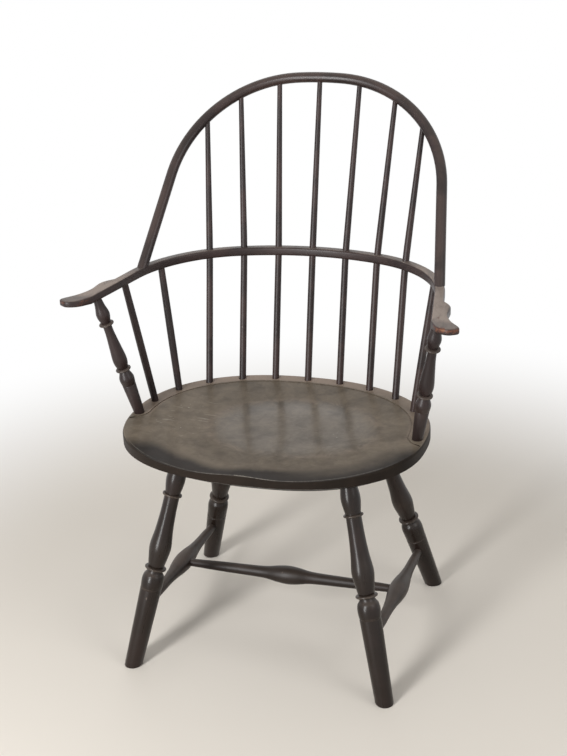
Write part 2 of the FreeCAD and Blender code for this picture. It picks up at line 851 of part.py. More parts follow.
def bow_solid():
    foot_plane = slab(rail_top, REACH)
    body = bow_bar(bow_radius).common(foot_plane)
    body = body.cut([spindle.bow_hole(glue_gap) for spindle in long_spindles])
    pieces = [body]
    for side in (1, -1):
        tenon = bow_tenon(side, 0).common(slab(rail_underside, rail_top + rail_thickness / 4))
        pieces.append(tenon.cut(bow_wedge(side, glue_gap)))
    return join(pieces)


def build():
    rail, left_hand, right_hand = arm_pieces()
    front = leg_solid(front_leg, side_front, side_rear)
    rear = leg_solid(rear_leg, side_rear, side_front)
    nodes = {
        "seat": seat_solid(),
        "leg_front_right": front,
        "leg_front_left": mirrored(front),
        "leg_rear_right": rear,
        "leg_rear_left": mirrored(rear),
        "arm_rail": rail,
        "arm_hand_left": left_hand,
        "arm_hand_right": right_hand,
        "bow": bow_solid(),
        "bow_wedges": Part.makeCompound([bow_wedge(1, 0), bow_wedge(-1, 0)]),
    }
    nodes["side_stretcher_right"] = side_stretcher()
    nodes["side_stretcher_left"] = mirrored(nodes["side_stretcher_right"])
    nodes["cross_stretcher"] = stretcher(
        cross_end, side_middle, stretcher_belly_radius, cross_belly_half, cross_arm_radius,
    )
    nodes["arm_post_right"] = post.solid()
    nodes["arm_post_left"] = mirrored(nodes["arm_post_right"])
    for number, spindle in enumerate(long_spindles, 1):
        nodes["long_spindle_%d" % number] = spindle.solid()
    for name, spindle in zip(("rear", "front"), short_spindles):
        solid = spindle.solid()
        nodes["short_spindle_%s_right" % name] = solid
        nodes["short_spindle_%s_left" % name] = mirrored(solid)
    return nodes


os.makedirs("parts", exist_ok=True)
for name, shape in build().items():
    shape.translate(centre_shift)
    shape.exportStep("parts/%s.step" % name)
    print(name, len(shape.Solids), shape.isValid(), round(shape.Volume), shape.BoundBox)
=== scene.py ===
"""Looks of a sack-back windsor armchair in worn, near black paint.

Pieces are shaped in millimetres from the middle of the seat's outline, as the chair was drawn,
and are brought to metres on the chair's own origin when they are done. The chair faces -Y.
"""

import math

import bmesh
import bpy
from mathutils import Matrix, Vector


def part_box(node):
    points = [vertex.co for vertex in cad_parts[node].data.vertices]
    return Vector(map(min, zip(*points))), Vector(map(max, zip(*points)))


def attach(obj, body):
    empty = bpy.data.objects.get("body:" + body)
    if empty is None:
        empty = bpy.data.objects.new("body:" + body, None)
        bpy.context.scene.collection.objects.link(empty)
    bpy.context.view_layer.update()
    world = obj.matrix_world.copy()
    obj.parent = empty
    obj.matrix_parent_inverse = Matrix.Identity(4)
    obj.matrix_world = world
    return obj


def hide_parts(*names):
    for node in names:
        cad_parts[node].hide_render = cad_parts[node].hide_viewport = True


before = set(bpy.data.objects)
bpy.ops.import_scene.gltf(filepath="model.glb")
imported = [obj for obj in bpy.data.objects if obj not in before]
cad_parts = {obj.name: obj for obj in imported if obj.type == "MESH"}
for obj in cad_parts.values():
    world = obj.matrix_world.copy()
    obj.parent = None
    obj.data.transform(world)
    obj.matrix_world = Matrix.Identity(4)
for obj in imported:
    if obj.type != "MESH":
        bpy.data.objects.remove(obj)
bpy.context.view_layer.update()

millimetre = 0.001

# Sizes that the pieces share, in millimetres
seat_top, seat_under = 430.0, 388.0
seat_half, seat_front, seat_back = 273.0, 204.0, 217.0
seat_front_power, seat_back_power = 2.4, 2.23
rail_level, rail_thick, rail_wide = 666.7, 16.0, 18.0
rail_under, rail_top = rail_level - rail_thick / 2, rail_level + rail_thick / 2
rail_splay = math.atan(0.17)
bow_lean = math.radians(39.4)
bow_radius = 9.5
spindle_inset = 18
spindle_seat_radius, spindle_rail_radius, spindle_top_radius = 6.5, 6.2, 4.5

# The right side's legs on the floor and at the seat's underside, and the heights of what joins them
front_foot, front_top = (236, -178), (151, -82)
rear_foot, rear_top = (236, 229), (136, 142)
rung_at_front, rung_at_rear = 114.0, 87.0

# The right post on the seat, and distances along the rail from its middle
post_foot = (258, -10)
bow_on_rail, hand_on_rail, post_on_rail = 349.0, 431.0, 489.0
short_spindles_on_rail = (298.0, 403.0)

# From one long spindle to the next, measured along the seat, the rail and the bow
seat_pitch, rail_pitch, bow_pitch = 63.8, 65.3, 77.0

# The middle of the seat's outline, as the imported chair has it
middle_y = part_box("seat")[0].y / millimetre + seat_front


def between(a, b, c, d, share):
    """Value a share of the way from b to c, on a smooth curve through a, b, c and d."""
    bend = (2 * a - 5 * b + 4 * c - d) * share ** 2
    swing = (3 * b - a - 3 * c + d) * share ** 3
    return 0.5 * (2 * b + (c - a) * share + bend + swing)


def line_through(points, steps=6):
    """Smooth line through a few (distance, radius) points."""
    padded = [points[0], *points, points[-1]]
    line = []
    for before, start, end, after in zip(padded, padded[1:], padded[2:], padded[3:]):
        for step in range(steps):
            line.append(tuple(between(*ends, step / steps) for ends in zip(before, start, end, after)))
    return [*line, points[-1]]


def ring(middle, radius, width, neck):
    """Outline of a thin rounded ring that stands out of a neck."""
    half, steps = width / 2, 8
    line = []
    for step in range(steps + 1):
        turn = math.pi * step / steps
        swell = math.sin(turn) ** 0.55
        line.append((middle - half * math.cos(turn), neck + (radius - neck) * swell))
    return line


def scribed(distance, radius):
    """Outline of one fine line cut into a turning."""
    depth, width = 0.4, 0.9
    return [(distance - width, radius), (distance, radius - depth), (distance + width, radius)]


def layers(bm):
    """Places to note where a point lies in its own piece and how rubbed it is."""
    return bm.verts.layers.float_vector.new("own"), bm.verts.layers.float.new("worn")


def rub_at(distance, rubbed):
    """How rubbed a turning is at a distance, from the (distance, reach, amount) of its rubbed places."""
    return max(amount * math.exp(-((distance - at) / reach) ** 2) for at, reach, amount in rubbed)


def lathe(outline, rubbed, sides=56):
    """Turn (distance, radius) points about Z, and note each point's own place and how rubbed it is."""
    bm = bmesh.new()
    own, worn = layers(bm)
    points = [(outline[0][0], 0.0), *outline, (outline[-1][0], 0.0)]
    line = [bm.verts.new((radius, 0, distance)) for distance, radius in points]
    for first, second in zip(line, line[1:]):
        bm.edges.new((first, second))
    bmesh.ops.spin(
        bm, geom=bm.verts[:] + bm.edges[:], cent=(0, 0, 0), axis=(0, 0, 1),
        angle=2 * math.pi, steps=sides, use_merge=True,
    )
    bmesh.ops.remove_doubles(bm, verts=bm.verts, dist=1e-3)
    bmesh.ops.recalc_face_normals(bm, faces=bm.faces)
    for vert in bm.verts:
        vert[own] = vert.co * millimetre
        vert[worn] = rub_at(vert.co.z, rubbed)
    return bm


def stand(bm, base, top):
    """Move a piece made up the Z axis so that it runs from base towards top."""
    turn = (Vector(top) - Vector(base)).to_track_quat("Z", "Y").to_matrix().to_4x4()
    bmesh.ops.transform(bm, matrix=Matrix.Translation(base) @ turn, verts=bm.verts)
    return bm


def saw(bm, point, normal, rim=0.0):
    """Cut away what lies beyond a plane, close the cut and ease its rim."""
    geometry = bm.verts[:] + bm.edges[:] + bm.faces[:]
    cut = bmesh.ops.bisect_plane(bm, geom=geometry, plane_co=point, plane_no=normal, clear_outer=True)
    edges = [item for item in cut["geom_cut"] if isinstance(item, bmesh.types.BMEdge)]
    bmesh.ops.edgeloop_fill(bm, edges=edges)
    if rim:
        bmesh.ops.bevel(
            bm, geom=edges, offset=rim, offset_type="OFFSET", segments=4, profile=0.5,
            affect="EDGES", clamp_overlap=True, material=-1,
        )
    return bm


def follow(bm, path):
    """Bend a piece made up the Z axis along a path of (centre, outward, across) at each distance."""
    for vert in bm.verts:
        centre, outward, across = path(vert.co.z)
        vert.co = centre + outward * vert.co.x + across * vert.co.y
    bmesh.ops.recalc_face_normals(bm, faces=bm.faces)
    # On a long bent piece the line above can point all faces inwards, which the volume's sign shows.
    if bm.calc_volume(signed=True) < 0:
        bmesh.ops.reverse_faces(bm, faces=bm.faces)
    return bm


def mirrored(bm):
    """The same piece for the other side of the chair."""
    other = bm.copy()
    bmesh.ops.scale(other, vec=(-1, 1, 1), verts=other.verts)
    bmesh.ops.reverse_faces(other, faces=other.faces)
    return other


def done(name, bm, finish, node):
    """Finish a piece off, and put it in place of its node."""
    crease = math.radians(38)
    bmesh.ops.translate(bm, vec=(0, middle_y, 0), verts=bm.verts)
    bmesh.ops.scale(bm, vec=(millimetre, millimetre, millimetre), verts=bm.verts)
    for face in bm.faces:
        face.smooth = True
    for edge in bm.edges:
        edge.smooth = edge.calc_face_angle(0) < crease
    mesh = bpy.data.meshes.new(name)
    bm.to_mesh(mesh)
    bm.free()
    mesh.materials.append(finish)
    piece = bpy.data.objects.new(name, mesh)
    bpy.context.scene.collection.objects.link(piece)
    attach(piece, "root")
    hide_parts(node)


class Arch:
    """Half of a bend: a crown arc, a tighter shoulder arc and a straight splayed side."""

    def __init__(self, crown, crown_radius, shoulder_radius, side, side_height, splay):
        self.crown_radius, self.shoulder_radius = crown_radius, shoulder_radius
        self.centre = Vector((0, crown - crown_radius))
        out = Vector((math.cos(splay), math.sin(splay)))
        start = Vector((side, side_height)) - shoulder_radius * out
        offset = start - self.centre
        along = out.x * offset.y - out.y * offset.x
        span = crown_radius - shoulder_radius
        climb = -along + math.sqrt(along ** 2 - offset.length_squared + span ** 2)
        self.shoulder = start + Vector((-out.y, out.x)) * climb
        self.crown_angle = math.atan2(self.shoulder.x, (self.shoulder - self.centre).y)
        self.crown_length = crown_radius * self.crown_angle
        self.bent = self.crown_length + shoulder_radius * (math.pi / 2 - splay - self.crown_angle)

    def at(self, distance):
        """Place and outward direction at a distance either side of the crown."""
        side = -1 if distance < 0 else 1
        distance = abs(distance)
        bend = min(distance, self.bent)
        if bend < self.crown_length:
            angle, centre, radius = bend / self.crown_radius, self.centre, self.crown_radius
        else:
            angle = self.crown_angle + (bend - self.crown_length) / self.shoulder_radius
            centre, radius = self.shoulder, self.shoulder_radius
        out = Vector((math.sin(angle), math.cos(angle)))
        point = centre + radius * out + Vector((out.y, -out.x)) * (distance - bend)
        return Vector((side * point.x, point.y)), Vector((side * out.x, out.y))


rail_line = Arch(
    crown=256.5, crown_radius=430.0, shoulder_radius=215.0, side=277.5, side_height=82.0, splay=rail_splay,
)


def on_rail(distance, height=rail_level):
    """Place on the rail's middle line at a distance to the right of its crown."""
    point = rail_line.at(distance)[0]
    return Vector((point.x, point.y, height))


bow_foot = on_rail(bow_on_rail)
bow_line = Arch(
    crown=398.0, crown_radius=620.0, shoulder_radius=229.0,
    side=bow_foot.x, side_height=0.0, splay=math.radians(6.4),
)
bow_up = Vector((0, math.sin(bow_lean), math.cos(bow_lean)))
bow_across = Vector((0, math.cos(bow_lean), -math.sin(bow_lean)))


def on_bow(distance):
    """Place and outward direction on the bow's middle line at a distance either side of its crown."""
    point, out = bow_line.at(distance)
    centre = Vector((point.x, bow_foot.y, rail_level)) + bow_up * point.y
    return centre, Vector((out.x, 0, 0)) + bow_up * out.y


def on_seat_edge(inset, angle):
    """Place on the seat's outline drawn in by inset."""
    across, along = math.cos(angle), math.sin(angle)
    depth, power = (seat_front, seat_front_power) if along < 0 else (seat_back, seat_back_power)
    x = math.copysign(abs(across) ** (2 / power), across) * (seat_half - inset)
    y = math.copysign(abs(along) ** (2 / power), along) * (depth - inset)
    return Vector((x, y, seat_top))


def along_seat_edge(distance):
    """Place of a spindle at a distance to the right of the back's middle, measured along the seat's edge."""
    last = on_seat_edge(spindle_inset, math.pi / 2)
    travelled, steps = 0.0, 1000
    for step in range(1, steps):
        point = on_seat_edge(spindle_inset, math.pi / 2 - math.pi * step / steps)
        travelled += (point - last).length
        if travelled >= distance:
            break
        last = point
    return last


class Value:
    """A number in a shader, for Python arithmetic."""

    def __init__(self, finish, socket):
        self.finish = finish
        self.socket = socket

    def math(self, operation, *operands, clamp=False):
        return self.finish.node("ShaderNodeMath", {"operation": operation, "use_clamp": clamp}, operands)

    def __add__(self, other):
        return self.math("ADD", self, other)

    def __sub__(self, other):
        return self.math("SUBTRACT", self, other)

    def __rsub__(self, other):
        return self.math("SUBTRACT", other, self)

    def __mul__(self, other):
        return self.math("MULTIPLY", self, other)

    def __truediv__(self, other):
        return self.math("DIVIDE", self, other)

    def __pow__(self, other):
        return self.math("POWER", self, other)

    __radd__ = __add__
    __rmul__ = __mul__

    def clamp(self):
        return self.math("ADD", self, 0.0, clamp=True)

    def abs(self):
        return self.math("ABSOLUTE", self)

    def above(self, other):
        return self.math("MAXIMUM", self, other)

    def step(self, low, high):
        """0 below low, 1 above high, with a soft climb; the other way round where low is the larger."""
        inputs = {"Value": self, "From Min": low, "From Max": high}
        return self.finish.node("ShaderNodeMapRange", {"interpolation_type": "SMOOTHSTEP"}, inputs)

    def near(self, middle, reach):
        """1 at middle, fading to 0 at reach from it."""
        return (self - middle).abs().step(reach, 0.0)


class Finish:
    """A material being put together, or the world."""

    def __init__(self, name, holder=None):
        self.material = holder or bpy.data.materials.new(name)
        self.material.use_nodes = True
        self.tree = self.material.node_tree
        self.tree.nodes.clear()

    def node(self, kind, settings=None, inputs=(), output=0):
        """One of a new node's outputs, once its settings and its inputs, by name or in order, are made."""
        made = self.tree.nodes.new(kind)
        for key, value in (settings or {}).items():
            setattr(made, key, value)
        for key, value in inputs.items() if isinstance(inputs, dict) else enumerate(inputs):
            if isinstance(value, Value):
                self.tree.links.new(value.socket, made.inputs[key])
            else:
                made.inputs[key].default_value = value
        if not made.outputs:
            return made
        return Value(self, made.outputs[output])

    def place(self):
        """Place in the chair's frame, in metres."""
        return self.node("ShaderNodeTexCoord", output=3)

    def own(self):
        """Place in the piece before it was stood up or bent, in metres."""
        return self.node("ShaderNodeAttribute", {"attribute_name": "own"}, output=1)

    def worn(self):
        """How rubbed the piece is, from 0 to 1."""
        return self.node("ShaderNodeAttribute", {"attribute_name": "worn"}, output=2)

    def upward(self):
        """How far a face looks up, from -1 to 1."""
        normal = self.node("ShaderNodeNewGeometry", output=1)
        return self.node("ShaderNodeSeparateXYZ", {}, {"Vector": normal}, output=2)

    def part(self, vector, axis):
        """One of a vector's three numbers."""
        return self.node("ShaderNodeSeparateXYZ", {}, {"Vector": vector}, output=axis)

    def drawn(self, vector, scale, turn=0.0):
        """The same pattern drawn out by a scale along each axis."""
        inputs = {"Vector": vector, "Scale": scale, "Rotation": (0, 0, turn)}
        return self.node("ShaderNodeMapping", {}, inputs)

    def clouds(self, vector, scale, detail, rough, warp=0.0):
        """Soft noise from 0 to 1, finer for a larger scale."""
        inputs = {"Vector": vector, "Scale": scale, "Detail": detail, "Roughness": rough, "Distortion": warp}
        return self.node("ShaderNodeTexNoise", {}, inputs)

    def blend(self, amount, under, over):
        """Colour over laid on colour under."""
        return self.node("ShaderNodeMix", {"data_type": "RGBA"}, {0: amount, 6: under, 7: over}, output=2)

    def seen(self):
        """1 where the camera, gloss or glass looks, 0 for light."""
        kinds = ("Is Camera Ray", "Is Glossy Ray", "Is Transmission Ray")
        camera, gloss, glass = (self.node("ShaderNodeLightPath", output=kind) for kind in kinds)
        return camera.above(gloss).above(glass)

    def surface(self, color, roughness, height, depth, shine=0.34, coat=0.0):
        """The paint's shader, with a bump whose depth is in millimetres, and rubbed to a gloss by coat."""
        relief = {"Strength": 1.0, "Distance": depth * millimetre, "Height": height}
        bump = self.node("ShaderNodeBump", {}, relief)
        inputs = {"Base Color": color, "Roughness": roughness, "Normal": bump, "Specular IOR Level": shine}
        inputs |= {"Coat Weight": coat, "Coat Roughness": 0.17}
        shader = self.node("ShaderNodeBsdfPrincipled", {}, inputs)
        self.node("ShaderNodeOutputMaterial", {}, {"Surface": shader})
        return self.material


black_paint = (0.0150, 0.0088, 0.0084, 1)
leg_black = (0.0125, 0.0080, 0.0060, 1)
seat_black = (0.0120, 0.0092, 0.0078, 1)
brown_paint = (0.0330, 0.0190, 0.0172, 1)
rubbed_paint = (0.085, 0.066, 0.052, 1)
dust = (0.135, 0.106, 0.088, 1)
# Grey of the dust on the arm tops, made lighter as a painted sheen
grey_dust_and_sheen = (0.340, 0.278, 0.240, 1)
# Dust on the seat, lightened as a painted reflection, and used as painted light in the scribed line
olive_dust_and_painted_light = (0.222, 0.182, 0.138, 1)
deck_dust = (0.334, 0.258, 0.208, 1)
rim_brown = (0.031, 0.023, 0.015, 1)
red_wood = (0.120, 0.042, 0.022, 1)
bare_wood = (0.230, 0.105, 0.050, 1)
# Pale of the seat's chips and scratches, and of the painted highlight on its front crest
chip_and_highlight_pale = (0.46, 0.42, 0.36, 1)


def turned_paint(name, black, top_share, brown, rough, depth=0.16, shine=0.34):
    """Paint on turned and whittled wood, with grain that runs along the piece."""
    finish = Finish(name)
    own, place = finish.own(), finish.place()
    grain = finish.clouds(finish.drawn(own, (1, 1, 0.07)), 260, 4, 0.6)
    patches = finish.clouds(place, 11, 4, 0.6, 0.4)
    grit = finish.clouds(place, 420, 3, 0.6)
    color = finish.blend(patches.step(0.42, 0.66) * brown, black, brown_paint)
    color = finish.blend(grain.step(0.52, 0.80) * brown * 0.6, color, brown_paint)
    rub = finish.worn() * (grit.step(0.30, 0.62) * 0.7 + 0.3) * (patches.step(0.35, 0.6) * 0.6 + 0.4)
    color = finish.blend(rub.clamp(), color, rubbed_paint)
    top_amount = finish.upward().step(0.30, 0.98) * (patches.step(0.30, 0.62) * 0.5 + 0.5) * top_share
    color = finish.blend(top_amount.clamp(), color, dust)
    nick = finish.clouds(finish.drawn(place, (1, 1, 0.45)), 75, 2, 0.4).step(0.765, 0.80)
    color = finish.blend(nick * 0.5, color, dust)
    roughness = (rough + grain * 0.12 + top_amount * 0.40 + patches * 0.06).clamp()
    height = grain * 0.5 + grit * 0.25 - nick * 0.8
    return finish.surface(color, roughness, height, depth, shine)


def board_paint(name):
    """Paint on the arm rail and hands, dusty on top with a painted sheen in the dust's grey, and rubbed to
    the wood at the hands' ends.
    """
    finish = Finish(name)
    own, place = finish.own(), finish.place()
    grain = finish.clouds(finish.drawn(own, (1, 1, 0.06)), 240, 4, 0.6)
    patches = finish.clouds(place, 13, 4, 0.6, 0.5)
    grit = finish.clouds(place, 380, 3, 0.6)
    color = finish.blend(patches.step(0.34, 0.66) * 0.8 + 0.15, black_paint, brown_paint)
    color = finish.blend(grain.step(0.50, 0.80) * 0.5, color, brown_paint)
    streaks = finish.clouds(finish.drawn(own, (1, 1, 0.12)), 150, 3, 0.6)
    x, y = finish.part(place, 0), finish.part(place, 1)

    # Dust, lightened as a painted sheen, lies thickest on the hands and on the rail's right shoulder
    hand = y.step(0.02, -0.08)
    shoulder = x.step(0.10, 0.26) * (1 - hand)
    dust_and_sheen_share = 0.02 + hand * 0.74 + shoulder * 0.62
    dust_and_sheen_share = dust_and_sheen_share + patches.step(0.28, 0.60) * 0.22 + streaks.step(0.38, 0.62) * 0.27 - grit * 0.10
    tip = y.step(-0.140, -0.162)
    smear = finish.clouds(finish.drawn(place, (1, 0.4, 1)), 42, 3, 0.6, 0.6).step(0.44, 0.64)
    # The tops are painted lighter in grey: partly dust, partly a painted sheen
    top_amount = (finish.upward().step(0.62, 0.98) * dust_and_sheen_share * (1 - smear * 0.38) * (1 - tip * 0.55)).clamp()
    color = finish.blend(top_amount, color, grey_dust_and_sheen)

    # The hands' ends are rubbed through the paint
    worn = finish.worn()
    end = worn.step(0.02, 0.12)
    ragged = (worn + (grit - 0.5) * 0.70 + (smear - 0.5) * 0.25 + (patches - 0.5) * 0.6).clamp()
    color = finish.blend((ragged.step(0.20, 0.40) * end * 0.85).clamp(), color, red_wood)
    color = finish.blend((ragged.step(0.40, 0.66) * end * 0.8).clamp(), color, bare_wood)
    roughness = (0.33 + top_amount * 0.25 + grain * 0.12).clamp()
    height = grain * 0.5 + grit * 0.25 - ragged.step(0.35, 0.6) * 0.5
    return finish.surface(color, roughness, height, depth=0.16)


def seat_places(finish, place):
    """Metres right of and behind the seat's middle, and how far out a point lies, with 1 at the edge."""
    half, back, front = (size * millimetre for size in (seat_half, seat_back, seat_front))
    power = 2.3
    x = finish.part(place, 0)
    y = finish.part(place, 1) - middle_y * millimetre
    along = y.above(0.0) / back + (0.0 - y).above(0.0) / front
    return x, y, ((x.abs() / half) ** power + along ** power) ** (1 / power)


def seat_marks(finish, place, x, y):
    """Scratches and chips, mostly on the left of the seat."""
    scratched = finish.clouds(finish.drawn(place, (0.25, 1.6, 1), 0.5), 120, 2, 0.4).step(0.68, 0.72)
    chips = finish.clouds(place, 210, 1, 0.3).step(0.755, 0.785)
    left = x.near(-0.17, 0.13) * y.near(0.0, 0.14)
    right = x.near(0.12, 0.08) * y.near(-0.02, 0.08)
    return (scratched * 0.6 + chips) * (left + right * 0.6).clamp()


def seat_paint(name):
    """Paint on the seat: dusty, with a painted reflection in the dust's lightness, rubbed smooth where it is
    sat on, black along the front.
    """
    finish = Finish(name)
    place = finish.place()
    x, y, out = seat_places(finish, place)
    up = finish.upward()
    top = up.step(0.55, 0.9)
    long_grain = finish.clouds(finish.drawn(place, (0.08, 1, 1)), 230, 4, 0.62)
    patches = finish.clouds(place, 9, 5, 0.62, 0.6)
    smudges = finish.clouds(place, 24, 4, 0.65, 0.8)
    fleck = finish.clouds(place, 80, 3, 0.6, 0.5)
    grit = finish.clouds(place, 420, 3, 0.6)
    color = finish.blend(patches.step(0.40, 0.66) * 0.15, seat_black, brown_paint)
    color = finish.blend(long_grain.step(0.52, 0.80) * 0.30, color, brown_paint)

    # A rubbed oval, a black front and a deck behind the scribed line
    oval_x, oval_y, oval_half, oval_depth = 0.030, 0.004, 0.155, 0.114
    oval = (((x - oval_x) / oval_half) ** 2.0 + ((y - oval_y) / oval_depth) ** 2.0) ** 0.5
    ragged = oval + (smudges - 0.5) * 0.30
    sat = ragged.step(1.12, 0.74)
    ridge = ragged.near(1.02, 0.10) * smudges.step(0.40, 0.60)
    shore = (smudges - 0.5) * 0.10 + (fleck - 0.5) * 0.04 - x.near(-0.035, 0.075) * 0.07
    front = (out + shore).step(0.76, 0.89) * (y - x * 0.15).step(-0.065, -0.115)
    front = front * (1 - x.step(0.04, 0.17) * out.step(0.99, 0.88) * 0.42)
    deck = out.step(0.85, 0.88) * y.step(-0.03, 0.01)

    # Dust on what looks up, its colour lightened as a painted reflection in place of the low shine
    top_share = up.step(0.35, 0.8) * (1 - front * 0.94)
    mottled = smudges.step(0.34, 0.64) * 0.18 + fleck.step(0.40, 0.62) * 0.10
    dust_and_sheen_share = 0.46 + patches.step(0.34, 0.62) * 0.20 + mottled - sat * 0.14 + x.step(0.05, 0.20) * 0.08
    dust_and_sheen_share = dust_and_sheen_share - y.step(0.06, 0.13) * (1 - deck) * 0.10
    # The tops take the olive colour: partly dust, partly a painted reflection
    color = finish.blend((top_share * dust_and_sheen_share).clamp(), color, olive_dust_and_painted_light)
    color = finish.blend((top_share * ridge * 0.22).clamp(), color, deck_dust)
    swept = (y.step(0.12, 0.19) * 0.40 + 0.50) * (1 - x.step(0.02, 0.20) * 0.35)
    color = finish.blend((top_share * deck * swept).clamp(), color, deck_dust)

    # The scribed line's walls lifted toward the dust colour as painted light against their shade, then the
    # plank's side, a painted highlight along its worn front crest, and its marks
    color = finish.blend((1 - top) * up.step(-0.3, 0.1) * out.step(0.96, 0.94) * 0.6, color, olive_dust_and_painted_light)
    side = out.step(0.985, 1.0) * (1 - top)
    color = finish.blend(side * (patches.step(0.3, 0.6) * 0.4 + 0.1) * up.step(-0.3, 0.3), color, rim_brown)
    # A pale line along the front crest is a painted highlight
    crest_highlight = out.near(0.992, 0.007) * y.step(-0.10, -0.15) * smudges.step(0.30, 0.50)
    crest_highlight = crest_highlight * (grit.step(0.35, 0.6) * 0.6 + 0.4) * (0.25 + x.near(0.015, 0.12) * 0.8)
    color = finish.blend(crest_highlight.clamp(), color, chip_and_highlight_pale)
    marks = (seat_marks(finish, place, x, y) * top).clamp()
    color = finish.blend(marks * 0.7, color, chip_and_highlight_pale)
    roughness = (0.40 - front * 0.08 + long_grain * 0.06 + smudges * 0.08).clamp()
    coat = (sat * top * (0.38 + smudges.step(0.3, 0.7) * 0.06) + top * 0.06).clamp()
    height = long_grain * 0.5 + grit * 0.25 - marks * 0.8
    return finish.surface(color, roughness, height, depth=0.14, shine=0.06, coat=coat)


leg_finish = turned_paint("leg_paint", leg_black, top_share=0.38, brown=0.25, rough=0.20, shine=0.28)
post_finish = turned_paint("post_paint", black_paint, top_share=0.36, brown=0.5, rough=0.30)
rung_finish = turned_paint("stretcher_paint", leg_black, top_share=0.52, brown=0.9, rough=0.30, shine=0.28)
cross_finish = turned_paint(
    "cross_stretcher_paint", leg_black, top_share=0.22, brown=0.3, rough=0.32, shine=0.26,
)
spindle_finish = turned_paint("spindle_paint", black_paint, top_share=0.5, brown=1.8, rough=0.34, depth=0.04)
bow_finish = turned_paint("bow_paint", black_paint, top_share=0.30, brown=1.4, rough=0.24, depth=0.05)
rail_finish = board_paint("arm_paint")
seat_finish = seat_paint("seat_paint")


def shape_leg(foot, top, collar, bulb):
    """Turned leg, sawn flat on the floor, with its low collar at a share of its length, above a bulb."""
    foot, top = Vector((*foot, 0)), Vector((*top, seat_under))
    length = (top - foot).length
    collar_gap = 0.348
    low, high = collar * length, (collar + collar_gap) * length
    span, crown = high - low, length - high
    groove = low - bulb
    below_floor = -40
    outline = [(below_floor, 15.2), (groove - 2.2, 19.2), (groove - 1.2, 18.0), (groove - 0.4, 18.1)]
    outline += line_through([
        (groove + 0.2, 19.0), (low - 31, 19.9), (low - 22, 20.0), (low - 14, 18.4), (low - 8.5, 14.8),
        (low - 3.4, 13.1),
    ])
    outline += ring(low, 19.6, 5.0, 13.6)
    outline += line_through([
        (low + 3.2, 14.2), (low + span * 0.15, 17.4), (low + span * 0.30, 19.7), (low + span * 0.51, 16.3),
        (low + span * 0.74, 14.2), (high - 3.2, 13.6),
    ])
    outline += ring(high, 17.6, 4.6, 13.6)
    outline += line_through([
        (high + 3.2, 13.6), (high + crown * 0.40, 17.2), (high + crown * 0.75, 14.2), (length + 9, 12.8),
    ])
    rubbed = [(low, 2.2, 0.9), (high, 2.2, 0.8), (groove + 0.3, 1.2, 0.5), (low + span * 0.3, 16, 0.12)]
    return saw(stand(lathe(outline, rubbed), foot, top), (0, 0, 0), (0, 0, -1), rim=2.6)


def shape_stretcher(start, end, host, belly, waist_radius):
    """Stretcher with a swelled middle of half length belly, let into hosts of radius host at its ends."""
    middle = (end - start).length / 2
    face, waist = host + 1, middle - belly
    end_radius = 7.4
    half = [
        (host - 8, 7.0), (face, end_radius), ((face + waist) / 2, (end_radius + waist_radius) / 2 + 0.4),
        (waist, waist_radius), (middle - belly * 0.62, 12.0), (middle - belly * 0.30, 15.7), (middle, 17.4),
    ]
    other_half = [(2 * middle - distance, radius) for distance, radius in reversed(half[:-1])]
    outline = line_through(half + other_half)
    return stand(lathe(outline, [(middle, 26, 0.18)]), start, end)


def shape_post():
    """Turned arm post."""
    foot, top = Vector((*post_foot, seat_top)), on_rail(post_on_rail, rail_under)
    length = (top - foot).length
    low, high = 0.395 * length, 0.793 * length
    span, crown = high - low, length - high
    outline = [(-5, 9.2), *scribed(low * 0.66, 12.3)]
    outline += line_through([
        (low * 0.69, 12.7), (low * 0.80, 13.5), (low * 0.90, 10.6), (low - 3.0, 7.8),
    ])
    outline += ring(low, 13.9, 4.6, 8.2)
    outline += line_through([
        (low + 3.0, 9.2), (low + span * 0.12, 12.0), (low + span * 0.25, 12.8), (low + span * 0.50, 10.6),
        (low + span * 0.78, 8.2), (high - 3.0, 7.8),
    ])
    outline += ring(high, 13.4, 4.6, 8.0)
    outline += line_through([
        (high + 3.0, 8.4), (high + crown * 0.38, 12.1), (high + crown * 0.72, 9.0), (length + 5, 6.7),
    ])
    rubbed = [(low, 2.2, 0.8), (high, 2.2, 0.8), (low * 0.72, 8, 0.2)]
    return stand(lathe(outline, rubbed, 48), foot, top)


def shape_long_spindle(index):
    """Whittled spindle, bent where it passes through the rail."""
    side = -1 if index < 0 else 1
    seat = along_seat_edge(abs(index) * seat_pitch) if index else on_seat_edge(spindle_inset, math.pi / 2)
    seat.x *= side
    rail, bow = on_rail(index * rail_pitch), on_bow(index * bow_pitch)[0]
    lower, upper = (rail - seat).normalized(), (bow - rail).normalized()
    bend = lower.angle(upper)
    radius = 900.0
    reach = radius * math.tan(bend / 2)
    straight = (rail - seat).length - reach
    curve = radius * bend
    normal = lower.cross(upper).normalized()
    inward = normal.cross(lower)
    centre = rail - lower * reach + inward * radius

    def path(distance):
        if distance < straight:
            return seat + lower * distance, -inward, normal
        if distance > straight + curve:
            out = -normal.cross(upper)
            return rail + upper * (reach + distance - straight - curve), out, normal
        out = Matrix.Rotation((distance - straight) / radius, 3, normal) @ -inward
        return centre + out * radius, out, normal

    above = (bow - rail).length - reach
    total = straight + curve + above
    thinning = spindle_rail_radius - spindle_top_radius
    steps = 6
    outline = [(-4, spindle_seat_radius), (straight * 0.5, spindle_seat_radius - 0.1)]
    for step in range(steps + 1):
        outline.append((straight + curve * step / steps, spindle_rail_radius))
    for share in (0.25, 0.5, 0.75, 0.97):
        outline.append((straight + curve + above * share, spindle_rail_radius - thinning * share))
    outline.append((total + 2, spindle_top_radius))
    return follow(lathe(outline, [(total * 0.25, 60, 0.10)], 24), path)


